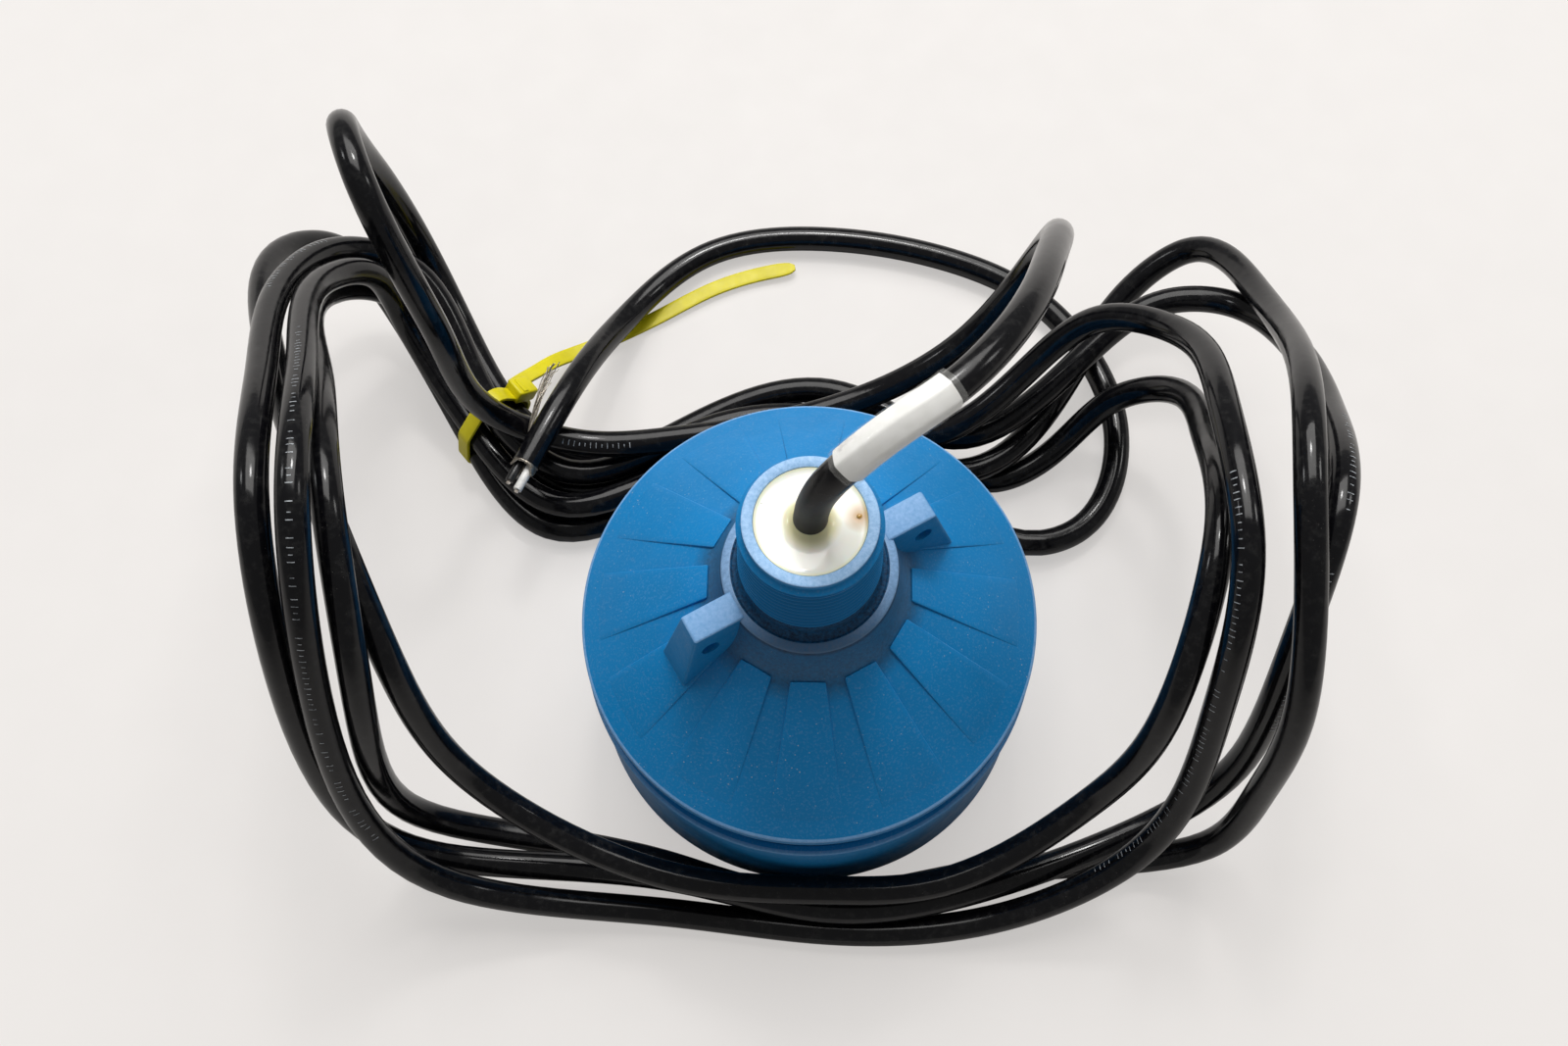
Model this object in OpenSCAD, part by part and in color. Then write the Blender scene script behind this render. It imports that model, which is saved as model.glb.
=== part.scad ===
// Ultrasonic level transducer, shown standing on its radiating face.
// The origin is the centre of that face, with +Z up through the threaded nipple.

/* [Housing] */
// Height from the radiating face to the top of the nipple
overall_h = 132; // [130:0.5:136]
// Radius of the front cup at its foot
foot_r = 60.5; // [60.5:0.1:61.5]
// Radius of the rear flange
flange_r = 59.5; // [59:0.1:60]
// Height of the rear flange's top edge
flange_z = 60.7; // [60:0.1:62]
// Height of the joint between the front cup and the rear housing
joint_z = 45.4; // [45:0.1:46]
// Thickness of the radiating face
face_t = 4; // [3.5:0.1:4.2]

/* [Nipple] */
// Outer radius of the one inch pipe thread, taken as a plain cylinder
thread_r = 16.7; // [16.4:0.1:17]
// Radius of the bore that the cable is potted in
bore_r = 12.85; // [12:0.05:13.2]
// Height of the threaded part
thread_l = 35; // [34:0.5:35.5]

/* [Ribs and lugs] */
// Number of raised wedges on the cone
rib_count = 12; // [6:1:16]
// Angle that each wedge spans
rib_deg = 10.5; // [8:0.5:12]
// Height of a wedge at the hub
rib_h = 1; // [0.6:0.1:1.4]
// Direction of the first lug
lug_deg = 27.4; // [20:0.1:35]
// Width of a lug at its top
lug_w = 7.5; // [7:0.1:8]
// Radius of the cross hole in a lug
lug_hole_r = 2.4; // [2:0.1:2.6]

/* [Cable] */
// Diameter of the cable's jacket
cable_d = 7.8; // [7:0.1:7.8]
// Width of the cable tie
tie_w = 4.8; // [4:0.1:5]

/* [Hidden] */

blue = [0.07, 0.40, 0.68];
fine = 96;
medium = 48;
gap = 0.1;

// Rear housing levels and radii
cone_foot = [flange_r, flange_z];
hub_foot = [25.3, 86.5];
cone_slope = (hub_foot[1] - cone_foot[1]) / (cone_foot[0] - hub_foot[0]);
wall = 4;
wall_drop = wall * sqrt(1 + cone_slope * cone_slope);
collar_r = 21.1;
collar_z = 100.2;
lug_hole_at = 29.6;
lug_hole_z = 92.3;
groove_r = 18.8;
groove_z = 95.4;
undercut_r = 16.2;
neck_step = 1.9;
neck_r = flange_r - neck_step;
neck_z = 56;
cup_wall = 4.3;
cup_in_r = foot_r - cup_wall;
spigot_gap = 0.2;
spigot_r = cup_in_r - spigot_gap;
spigot_wall = 6;
spigot_in_r = spigot_r - spigot_wall;
spigot_z = 33;
seal_z = 39.7;
seal_minor_r = 1.55;
seal_groove_depth = 3;
seal_groove_r = spigot_r - seal_groove_depth;
seal_groove_h = 3.4;
throat = [16, 90];
throat_top = [bore_r, 94];

// Heights of the stack on the radiating face
matching_t = 6;
plate_z = face_t + matching_t;
plate_t = 10;
ring_band = 7;
ring_gap_out = 1.2;
ring_gap_in = 0.4;
ring_h = 22;
plate_r = cup_in_r - ring_gap_out - ring_band - ring_gap_in;
foil_t = 0.2;
piezo_r = 25;
piezo_t = 10;
piezo_z = plate_z + plate_t + foil_t;
rear_foil_z = piezo_z + piezo_t;
foam_z = rear_foil_z + foil_t;
foam_t = 6;
foam_gap = 6;
spacer_pitch_r = 30;
spacer_h = 4;
board_z = foam_z + foam_t + spacer_h;
board_t = 1.6;
board_top = board_z + board_t;
board_r = 36;
fill_z = 56;
cable_start_z = 112;
lead_pitch_r = 1.9;
core_insulation_r = 1.3;
lead_r = [1.1, 1.1, 0.5];
lead_gap = 0.05;
pin_h = 5;
front_lead_r = piezo_r + 1.3;
sensor_r = 2;
sensor_inset = 4.2;
sensor_pitch_r = cup_in_r - sensor_inset;
sensor_l = 8;

// Transformer on the board
core_at = [-17, 0];
core_r = 12;
core_h = fill_z - board_top;
core_post_r = 4.5;
core_base_t = 2.5;
bobbin_r = 9.6;

// Route of the cable's centre line, from the potting to the bare end
cable_r = cable_d / 2;
cable_sides = 8;
EXIT_ARC = [[0, 0, 112], [0, 0, 134], [2, 1, 146], [7, 3, 155], [17, 8, 163], [30, 16, 166],
    [42, 29, 162], [58, 63, 134], [66, 86, 104], [66, 97, 72], [48, 88, 39], [14, 76, 24]];
HAIRPIN = [[-41, 67, 21], [-65, 67, 21], [-87, 71, 31], [-96, 74, 78], [-103, 85, 111],
    [-108, 96, 124], [-113, 110, 122], [-118, 124, 98], [-117, 130, 65], [-110, 122, 32],
    [-99, 100, 18]];
TURN_1 = [[-89, 83, 14], [-67, 68, 6], [-30, 80, 5], [13, 85, 11], [46, 68, 15], [85, 88, 27],
    [109, 101, 35], [125, 98, 40], [137, 78, 55], [134, 41, 88], [123, 5, 115], [116, -22, 88],
    [104, -45, 21], [48, -65, 13], [3, -70, 12], [-41, -60, 12], [-106, -53, 19],
    [-125, -28, 90], [-125, 11, 131], [-132, 50, 111], [-138, 100, 72], [-128, 116, 53],
    [-116, 117, 42]];
TURN_2 = [[-93, 80, 21], [-70, 61, 13], [-29, 74, 12], [14, 74, 15], [39, 66, 23], [67, 79, 40],
    [84, 84, 59], [98, 74, 74], [101, 33, 110], [100, -4, 118], [98, -34, 82], [86, -60, 32],
    [52, -73, 10], [3, -75, 5], [-41, -69, 6], [-98, -62, 23], [-117, -28, 98],
    [-114, 9, 137], [-122, 53, 112], [-128, 100, 68], [-122, 108, 52], [-117, 103, 30]];
TURN_3 = [[-100, 77, 14], [-73, 51, 12], [-28, 64, 13], [12, 65, 13], [51, 58, 13], [82, 87, 11],
    [106, 116, 22], [118, 120, 31], [130, 95, 54], [114, 7, 124], [116, -34, 91],
    [115, -48, 50], [108, -56, 15], [50, -60, 4], [0, -66, 4], [-22, -62, 4], [-43, -55, 4],
    [-100, -44, 14], [-108, -23, 99], [-110, 13, 125], [-123, 57, 96], [-133, 105, 50],
    [-123, 113, 32], [-113, 109, 17]];
TURN_4 = [[-93, 79, 6], [-72, 59, 4], [-29, 72, 4], [16, 78, 4], [59, 58, 4], [76, 65, 7],
    [93, 75, 23], [105, 72, 37], [107, 45, 68], [97, 0, 103], [88, -30, 84], [72, -48, 38],
    [34, -65, 22], [3, -66, 20], [-38, -62, 25], [-88, -39, 45], [-103, -15, 95],
    [-116, 18, 111], [-140, 71, 84], [-146, 119, 51], [-137, 126, 36], [-125, 117, 14]];
FAR_LOOP = [[-102, 77, 6], [-77, 47, 4], [-27, 63, 4], [14, 69, 4], [71, 37, 5], [84, 42, 4],
    [97, 70, 5], [93, 94, 4], [77, 118, 4], [47, 135, 4], [9, 143, 4], [-29, 138, 4],
    [-53, 114, 10], [-69, 76, 34], [-82, 49, 37]];
ROUTE = concat(EXIT_ARC, HAIRPIN, TURN_1, TURN_2, TURN_3, TURN_4, FAR_LOOP);
label_from = 3;
label_to = 5;
label_t = 0.25;
sleeve_t = 0.4;
tube_gap = 0.1;

// Bare end of the cable
end_at = ROUTE[len(ROUTE) - 1];
end_way = unit(end_at - ROUTE[len(ROUTE) - 2]);
core_offset = 1.7;
core_black_l = 7;
core_white_l = 8.5;
strand_l = 0.8;
strand_r = 0.6;
BRAID = [[-82.2, 48.5, 34.9], [-83.5, 46.5, 34], [-85.5, 47, 33], [-85.5, 51, 33],
    [-83.5, 58, 33], [-80.5, 64, 34], [-78.5, 69, 34], [-76, 77, 34], [-75, 82, 33],
    [-72, 86, 33]];
braid_r = 1.1;

// Cable tie around the five strands at its left rear: where each passes the strap's plane
tie_at = [-95.5, 79.5];
tie_deg = 38;
tie_t = 1.2;
TIE_STRANDS = [[7.7, 14.2], [2.6, 22.2], [-4.8, 14.2], [1.8, 6.6], [-6.6, 5.9]];
tie_head = [4.5, 7.5, 6.4];
tie_head_deg = 50;
TIE_TAIL = [[-86, 87, 20.3], [-83.4, 91, 16.5], [-80.5, 95.3, 12], [-76, 100.5, 7.5],
    [-68, 106, 3], [-58, 111, 1.5],
    [-42, 119, 1.5], [-27, 127, 1.5], [-12, 132, 1.5], [0, 134, 2]];

function unit(v) = v / norm(v);

// Height of the cone's outer face at radius r
function cone_z(r) = cone_foot[1] + (cone_foot[0] - r) * cone_slope;

// Points of an arc about c, from angle a to angle b
function arc(c, r, a, b, n = 6) =
    [for (i = [0:n]) c + r * [cos(a + (b - a) * i / n), sin(a + (b - a) * i / n)]];

// Direction of a path at its point i
function heading(path, i) =
    i == 0 ? unit(path[1] - path[0])
    : i == len(path) - 1 ? unit(path[i] - path[i - 1])
    : unit(unit(path[i + 1] - path[i]) + unit(path[i] - path[i - 1]));

// Part of v at right angles to the direction t
function square_to(v, t) = unit(v - (v * t) * t);

// Side vectors that turn with the path and don't twist
function sides_along(path, first) =
    [for (i = 0, s = square_to(first, heading(path, 0)); i < len(path);
        i = i + 1, s = i < len(path) ? square_to(s, heading(path, i)) : s) s];

// Ring of n points round the path's point p
function ring(p, t, s, r, n) =
    [for (k = [0:n - 1]) p + r * (cos(360 * k / n) * s + sin(360 * k / n) * cross(t, s))];

// Four corners of a flat strap w wide and h thick
function strap_ring(p, t, s, w, h) =
    [for (c = [[1, 1], [-1, 1], [-1, -1], [1, -1]]) p + c[0] * w / 2 * s + c[1] * h / 2 * cross(t, s)];

// Skin over a list of rings, closed at both ends
module skin(rings) {
    n = len(rings[0]);
    last = len(rings) - 1;
    walls = [for (i = [0:last - 1], k = [0:n - 1], half = [0, 1])
        half == 0 ? [i * n + k, (i + 1) * n + k, i * n + (k + 1) % n]
        : [i * n + (k + 1) % n, (i + 1) * n + k, (i + 1) * n + (k + 1) % n]];
    near_cap = [for (k = [0:n - 1]) k];
    far_cap = [for (k = [n - 1:-1:0]) last * n + k];
    polyhedron([for (r = rings, p = r) p], concat([near_cap], walls, [far_cap]), convexity = 10);
}

// Round tube swept along a path
module tube(path, r, n, first = [1, 0, 0]) {
    sides = sides_along(path, first);
    skin([for (i = [0:len(path) - 1]) ring(path[i], heading(path, i), sides[i], r, n)]);
}

// Thin tube that wraps the cable from one route point to another
module wrap(from, to, inset, inner_r, outer_r) {
    a = ROUTE[from] + inset * (ROUTE[from + 1] - ROUTE[from]);
    b = ROUTE[to] + inset * (ROUTE[to - 1] - ROUTE[to]);
    middle = [for (i = [from + 1:to - 1]) ROUTE[i]];
    path = concat([a], middle, [b]);
    longer = concat([a - 2 * unit(middle[0] - a)], middle, [b + 2 * unit(b - middle[0])]);
    difference() {
        tube(path, outer_r, cable_sides);
        tube(longer, inner_r, cable_sides);
    }
}

// Straight round bar along a direction
module bar(at, way, r, l) {
    translate(at) rotate([0, acos(way[2]), atan2(way[1], way[0])]) cylinder(h = l, r = r, $fn = 24);
}

// Moulded cup with the radiating face as its floor
module front_housing() {
    edge_r = 2;
    bead_z = 37;
    profile = concat([[0, 0]], arc([foot_r - edge_r, edge_r], edge_r, -90, 0),
        [[foot_r - 0.8, bead_z - 0.7], [foot_r - 0.3, bead_z], [foot_r - 0.2, joint_z - 1.2]],
        arc([foot_r - 1, joint_z - 0.8], 0.8, 0, 90),
        [[cup_in_r, joint_z], [cup_in_r, face_t + 1], [cup_in_r - 1, face_t], [0, face_t]]);
    color(blue) rotate_extrude($fn = fine) polygon(profile);
}

// One raised wedge on the cone, highest at the hub and gone near the flange
module rib(deg) {
    inner = hub_foot[0] - 1.3;
    outer = 54;
    rotate([0, 0, deg - rib_deg / 2]) rotate_extrude(angle = rib_deg, $fn = fine)
        polygon([[inner, cone_z(inner) - 2], [outer, cone_z(outer) - 2], [outer, cone_z(outer)],
            [inner, cone_z(inner) + rib_h]]);
}

// One lug, drafted on all sides, standing on the cone beside the collar
module lug(deg) {
    top_end = 33;
    foot_end = 39.6;
    foot_z = 74;
    top_r = 1;
    side_view = concat([[collar_r - 1.1, collar_z]],
        arc([top_end - top_r, collar_z - top_r], top_r, 90, 10),
        [[foot_end, foot_z], [hub_foot[0], hub_foot[1] - 1.7], [collar_r - 1.1, 89]]);
    half = lug_w / 2;
    foot_half = half + 1.95;
    end_view = [[-half, collar_z], [half, collar_z], [foot_half, foot_z - 1],
        [-foot_half, foot_z - 1]];
    rotate([0, 0, deg]) intersection() {
        rotate([90, 0, 0]) linear_extrude(3 * lug_w, center = true) polygon(side_view);
        rotate([90, 0, 90]) linear_extrude(flange_r) polygon(end_view);
    }
}

module lug_hole(deg) {
    rotate([0, 0, deg]) translate([lug_hole_at, 0, lug_hole_z]) rotate([90, 0, 0])
        cylinder(h = 3 * lug_w, r = lug_hole_r, center = true, $fn = medium);
}

// Inner outline shared by the rear housing and the potting that fills it
function cavity(inset) =
    [[bore_r - inset, cable_start_z], throat_top - [inset, inset], throat - [inset, inset],
    [hub_foot[0] - inset, cone_z(hub_foot[0]) - wall_drop - inset],
    [spigot_in_r - inset, cone_z(spigot_in_r) - wall_drop - inset]];

// Cone, hub and threaded nipple, with a spigot that enters the front cup
module rear_housing() {
    lip_r = 0.6;
    groove_half = seal_groove_h / 2;
    profile = concat([[spigot_in_r, spigot_z], [spigot_r - 0.6, spigot_z],
        [spigot_r, spigot_z + 0.6], [spigot_r, seal_z - groove_half],
        [seal_groove_r, seal_z - groove_half], [seal_groove_r, seal_z + groove_half],
        [spigot_r, seal_z + groove_half], [spigot_r, joint_z], [neck_r, joint_z],
        [neck_r, neck_z]],
        arc([flange_r - lip_r, neck_z + lip_r], lip_r, -90, 0),
        arc([flange_r - lip_r, flange_z - lip_r], lip_r, 0, 53),
        [hub_foot, [23.7, 90], [22.4, 95], [collar_r + 0.2, collar_z - 1]],
        arc([collar_r - 0.7, collar_z - 0.7], 0.7, 10, 90),
        [[groove_r + 0.4, collar_z], [groove_r, collar_z - 0.4], [groove_r, groove_z],
        [undercut_r, groove_z], [undercut_r, overall_h - thread_l - 0.5],
        [thread_r, overall_h - thread_l], [thread_r, overall_h - 3],
        [thread_r - 1.2, overall_h - 0.3], [thread_r - 1.5, overall_h], [bore_r, overall_h]],
        cavity(0));
    color(blue) difference() {
        union() {
            rotate_extrude($fn = fine) polygon(profile);
            for (i = [0:rib_count - 1]) rib(lug_deg - 15 + i * 360 / rib_count);
            for (deg = [lug_deg, lug_deg + 180]) lug(deg);
        }
        for (deg = [lug_deg, lug_deg + 180]) lug_hole(deg);
    }
}

module joint_seal() {
    color([0.08, 0.08, 0.08]) rotate_extrude($fn = fine)
        translate([seal_groove_r + seal_minor_r, seal_z]) circle(r = seal_minor_r, $fn = 24);
}

module matching_layer() {
    color([0.85, 0.83, 0.72]) translate([0, 0, face_t])
        cylinder(h = matching_t, r = plate_r + 0.2, $fn = fine);
}

module load_plate() {
    color([0.78, 0.79, 0.8]) translate([0, 0, plate_z]) cylinder(h = plate_t, r = plate_r, $fn = fine);
}

// Foam ring that keeps the plate off the cup's wall, with a pocket for the sensor
module isolation_ring() {
    ring_in_r = plate_r + ring_gap_in;
    ring_out_r = cup_in_r - ring_gap_out;
    color([0.25, 0.25, 0.27]) difference() {
        rotate_extrude($fn = fine)
            translate([ring_in_r, face_t]) square([ring_out_r - ring_in_r, ring_h]);
        translate([0, sensor_pitch_r, 0])
            cylinder(h = face_t + ring_h + 1, r = sensor_r + 0.2, $fn = medium);
    }
}

// Foil on one face of the ceramic, with a tab for its wire
module foil(z, tab_r, deg) {
    color([0.85, 0.55, 0.35]) translate([0, 0, z]) union() {
        cylinder(h = foil_t, r = piezo_r - 0.5, $fn = fine);
        rotate([0, 0, deg]) translate([piezo_r - 2, -1.5, 0]) cube([tab_r - piezo_r + 2, 3, foil_t]);
    }
}

module front_electrode() {
    foil(plate_z + plate_t, front_lead_r + 0.7, 200);
}

module rear_electrode() {
    foil(rear_foil_z, piezo_r - 0.5, 200);
}

module piezo_disc() {
    color([0.72, 0.66, 0.55]) translate([0, 0, piezo_z]) cylinder(h = piezo_t, r = piezo_r, $fn = fine);
}

// Wires from the two foils up to the board
module piezo_leads() {
    color([0.7, 0.1, 0.1]) union() {
        rotate([0, 0, 200]) translate([front_lead_r, 0, piezo_z]) cylinder(h = board_z - piezo_z, r = 0.5, $fn = 24);
        translate([3, 0, foam_z]) cylinder(h = board_z - foam_z, r = 0.5, $fn = 24);
    }
}

// Foam cap that sits on the plate round the ceramic and backs it
module backing_foam() {
    skirt_in = piezo_r + 2.5;
    outer = spigot_in_r - foam_gap;
    hole = 7;
    color([0.3, 0.32, 0.34]) difference() {
        rotate_extrude($fn = fine) polygon([[skirt_in, plate_z + plate_t], [outer, plate_z + plate_t],
            [outer, foam_z + foam_t], [hole, foam_z + foam_t], [hole, foam_z], [skirt_in, foam_z]]);
        rotate([0, 0, 200]) translate([front_lead_r, 0, plate_z])
            cylinder(h = board_z - plate_z, r = 0.8, $fn = 24);
    }
}

module temperature_sensor() {
    color([0.15, 0.15, 0.16]) translate([0, sensor_pitch_r, face_t]) union() {
        cylinder(h = sensor_l - 1, r = sensor_r, $fn = 32);
        translate([0, 0, sensor_l - 1]) cylinder(h = 1, r1 = sensor_r, r2 = 1, $fn = 32);
    }
}

// Wire from the sensor up past the foam and over the board's edge
module sensor_lead() {
    wire_r = 0.6;
    bottom = face_t + sensor_l;
    top = board_top + wire_r;
    near = sensor_pitch_r - 4;
    color([0.85, 0.75, 0.2]) tube([[0, sensor_pitch_r, bottom], [0, sensor_pitch_r, bottom + 14],
        [0, near, bottom + 19], [0, near, top - 2], [0, near - 2, top], [0, board_r - 5, top]],
        wire_r, 8);
}

module board_spacers() {
    color([0.9, 0.9, 0.88]) for (i = [0:3]) rotate([0, 0, 45 + 90 * i]) 
        translate([spacer_pitch_r, 0, foam_z + foam_t]) cylinder(h = spacer_h, r = 2.5, $fn = 32);
}

module circuit_board() {
    color([0.1, 0.42, 0.22]) translate([0, 0, board_z]) cylinder(h = board_t, r = board_r, $fn = fine);
}

// One half of the round ferrite core, open side up
module core_half() {
    rotate_extrude($fn = medium) polygon([[0, 0], [core_r, 0], [core_r, core_h / 2],
        [core_r - 2, core_h / 2], [core_r - 2, core_base_t], [core_post_r, core_base_t],
        [core_post_r, core_h / 2], [0, core_h / 2]]);
}

module transformer_core() {
    color([0.2, 0.2, 0.22]) translate([core_at[0], core_at[1], board_top]) {
        core_half();
        translate([0, 0, core_h]) mirror([0, 0, 1]) core_half();
    }
}

module transformer_bobbin() {
    hub_in = core_post_r + gap;
    hub_out = hub_in + 0.9;
    low = core_base_t;
    high = core_h - core_base_t;
    flange = 0.8;
    color([0.9, 0.9, 0.85]) translate([core_at[0], core_at[1], board_top]) rotate_extrude($fn = medium)
        polygon([[hub_in, low], [bobbin_r, low], [bobbin_r, low + flange], [hub_out, low + flange],
            [hub_out, high - flange], [bobbin_r, high - flange], [bobbin_r, high], [hub_in, high]]);
}

module transformer_winding() {
    hub_out = core_post_r + gap + 0.9;
    low = core_base_t + 0.8;
    color([0.75, 0.4, 0.2]) translate([core_at[0], core_at[1], board_top + low]) rotate_extrude($fn = medium)
        translate([hub_out + 0.05, 0]) square([bobbin_r - hub_out - 0.4, core_h - 2 * low]);
}

module tuning_capacitor() {
    color([0.75, 0.2, 0.15]) translate([13, -8, board_top]) cube([16, 8, 12]);
}

// Place of lead number i, beside the cable's centre line
function lead_at(i) = lead_pitch_r * [cos(90 + 120 * i), sin(90 + 120 * i)];

module terminal_pins() {
    color([0.85, 0.8, 0.6]) for (i = [0:2]) translate([lead_at(i)[0], lead_at(i)[1], board_top]) union() {
        cylinder(h = 1, r = 1.2, $fn = 24);
        cylinder(h = pin_h, r = 0.5, $fn = 24);
    }
}

// Straight wire from its pin up through the potting to the end of the cable
module lead(i) {
    bottom = board_top + pin_h;
    translate([lead_at(i)[0], lead_at(i)[1], bottom]) 
        cylinder(h = cable_start_z - bottom, r = lead_r[i], $fn = 24);
}

module lead_black() {
    color([0.08, 0.08, 0.08]) lead(0);
}

module lead_white() {
    color([0.9, 0.9, 0.9]) lead(1);
}

module drain_wire() {
    color([0.7, 0.7, 0.68]) lead(2);
}

// Clear resin that fills the cone and the lower nipple round the three wires
module potting_fill() {
    color([0.75, 0.7, 0.55]) difference() {
        rotate_extrude($fn = fine) polygon(concat([[0, fill_z], [spigot_in_r - gap, fill_z]],
            [for (i = [4:-1:0]) cavity(gap)[i]], [[0, cable_start_z]]));
        for (i = [0:2]) translate([lead_at(i)[0], lead_at(i)[1], fill_z - 1])
            cylinder(h = cable_start_z - fill_z + 2, r = lead_r[i] + lead_gap, $fn = 24);
    }
}

// Cream resin that closes the nipple, drawn up at the bore's edge and at the cable
module potting_cap() {
    edge = bore_r - 0.05;
    hole = cable_r + 0.05;
    top = overall_h;
    color([0.93, 0.92, 0.8]) rotate_extrude($fn = fine) polygon([[hole, cable_start_z],
        [edge, cable_start_z], [edge, top], [edge - 0.6, top - 0.3], [edge - 2, top - 0.6],
        [hole + 3, top - 0.7], [hole + 1.4, top - 0.2], [hole, top + 1]]);
}

module signal_cable() {
    color([0.06, 0.06, 0.06]) tube(ROUTE, cable_r, cable_sides);
}

module id_label() {
    inner = cable_r + tube_gap;
    color([0.95, 0.95, 0.93]) wrap(label_from, label_to, 0.12, inner, inner + label_t);
}

module label_sleeve() {
    inner = cable_r + 2 * tube_gap + label_t;
    color([0.85, 0.88, 0.88, 0.4]) wrap(label_from, label_to, 0, inner, inner + sleeve_t);
}

// Outline round the strands that the tie holds
module bundle(r) {
    hull() for (p = TIE_STRANDS) translate(p) circle(r = r, $fn = 20);
}

// Nylon tie in one moulding: closed loop, locking head and long free tail
module cable_tie() {
    inner = cable_r + 0.6;
    up = [0, 0, 1];
    color([0.92, 0.88, 0.2]) union() {
        translate([tie_at[0], tie_at[1], 0]) rotate([0, 0, tie_deg]) rotate([90, 0, 0]) {
            linear_extrude(tie_w, center = true) difference() {
                bundle(inner + tie_t);
                bundle(inner);
            }
            translate(TIE_STRANDS[0]) rotate(tie_head_deg)
                translate([inner + tie_t - 0.3, -tie_head.y / 2, -tie_head.z / 2]) cube(tie_head);
        }
        skin([for (i = [0:len(TIE_TAIL) - 1]) let (t = heading(TIE_TAIL, i))
            strap_ring(TIE_TAIL[i], t, unit(cross(up, t)), tie_w, tie_t)]);
    }
}

// One insulated core that stands out of the cut end
module end_core(way_out, l) {
    bar(end_at + way_out * core_offset * unit(cross([0, 0, 1], end_way)), end_way, core_insulation_r, l);
}

module end_core_black() {
    color([0.07, 0.07, 0.07]) end_core(-1, core_black_l);
}

module end_core_white() {
    color([0.9, 0.9, 0.9]) end_core(1, core_white_l);
}

// Bare copper at the tips of the two cores
module end_strands() {
    across = core_offset * unit(cross([0, 0, 1], end_way));
    color([0.8, 0.5, 0.3]) {
        bar(end_at - across + core_black_l * end_way, end_way, strand_r, strand_l);
        bar(end_at + across + core_white_l * end_way, end_way, strand_r, strand_l);
    }
}

// Shield braid, twisted into a pigtail that lies back beside the cable
module shield_braid() {
    color([0.65, 0.62, 0.55]) tube(BRAID, braid_r, 8);
}

front_housing();
rear_housing();
joint_seal();
matching_layer();
load_plate();
isolation_ring();
front_electrode();
piezo_disc();
rear_electrode();
piezo_leads();
backing_foam();
temperature_sensor();
sensor_lead();
board_spacers();
circuit_board();
transformer_core();
transformer_bobbin();
transformer_winding();
tuning_capacitor();
terminal_pins();
lead_black();
lead_white();
drain_wire();
potting_fill();
potting_cap();
signal_cable();
id_label();
label_sleeve();
cable_tie();
end_core_black();
end_core_white();
end_strands();
shield_braid();
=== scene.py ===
import math
import random

import bmesh
import bpy
import numpy as np
from mathutils import Matrix, Vector
from mathutils.geometry import convex_hull_2d


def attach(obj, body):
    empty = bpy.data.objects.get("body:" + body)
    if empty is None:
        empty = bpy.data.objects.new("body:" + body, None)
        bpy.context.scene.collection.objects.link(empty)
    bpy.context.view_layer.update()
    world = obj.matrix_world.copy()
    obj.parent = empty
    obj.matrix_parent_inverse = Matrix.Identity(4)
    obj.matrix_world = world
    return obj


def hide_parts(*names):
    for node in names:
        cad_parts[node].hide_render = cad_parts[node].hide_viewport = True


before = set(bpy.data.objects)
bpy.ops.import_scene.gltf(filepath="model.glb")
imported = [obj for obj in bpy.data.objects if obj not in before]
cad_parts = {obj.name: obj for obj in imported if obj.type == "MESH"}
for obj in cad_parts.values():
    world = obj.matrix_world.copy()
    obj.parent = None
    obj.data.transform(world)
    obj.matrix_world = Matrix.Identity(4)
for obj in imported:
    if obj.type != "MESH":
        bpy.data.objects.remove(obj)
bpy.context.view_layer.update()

bl_info = {
    "name": "Ultrasonic level transducer",
    "version": (1, 0, 0),
    "blender": (4, 5, 0),
    "location": "3D View > Sidebar > Transducer",
    "description": "Builds the visible pieces of an ultrasonic level transducer on its CAD frame",
    "category": "Object",
}

BODY = "root"

# The cable's route, in millimetres, grouped by turn: the part's source has the same points, but
# its last one is 6 mm further on. Here the cable ends where the photo shows it.
EXIT_ARC = [
    (0, 0, 112), (0, 0, 134), (2, 1, 146), (7, 3, 155), (17, 8, 163), (30, 16, 166), (42, 29, 162),
    (58, 63, 134), (66, 86, 104), (66, 97, 72), (48, 88, 39), (14, 76, 24)]
HAIRPIN = [
    (-41, 67, 21), (-65, 67, 21), (-87, 71, 31), (-96, 74, 78), (-103, 85, 111), (-108, 96, 124),
    (-113, 110, 122), (-118, 124, 98), (-117, 130, 65), (-110, 122, 32), (-99, 100, 18)]
TURN_1 = [
    (-89, 83, 14), (-67, 68, 6), (-30, 80, 5), (13, 85, 11), (46, 68, 15), (85, 88, 27),
    (109, 101, 35), (125, 98, 40), (137, 78, 55), (134, 41, 88), (123, 5, 115), (116, -22, 88),
    (104, -45, 21), (48, -65, 13), (3, -70, 12), (-41, -60, 12), (-106, -53, 19), (-125, -28, 90),
    (-125, 11, 131), (-132, 50, 111), (-138, 100, 72), (-128, 116, 53), (-116, 117, 42)]
TURN_2 = [
    (-93, 80, 21), (-70, 61, 13), (-29, 74, 12), (14, 74, 15), (39, 66, 23), (67, 79, 40),
    (84, 84, 59), (98, 74, 74), (101, 33, 110), (100, -4, 118), (98, -34, 82), (86, -60, 32),
    (52, -73, 10), (3, -75, 5), (-41, -69, 6), (-98, -62, 23), (-117, -28, 98), (-114, 9, 137),
    (-122, 53, 112), (-128, 100, 68), (-122, 108, 52), (-117, 103, 30)]
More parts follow.
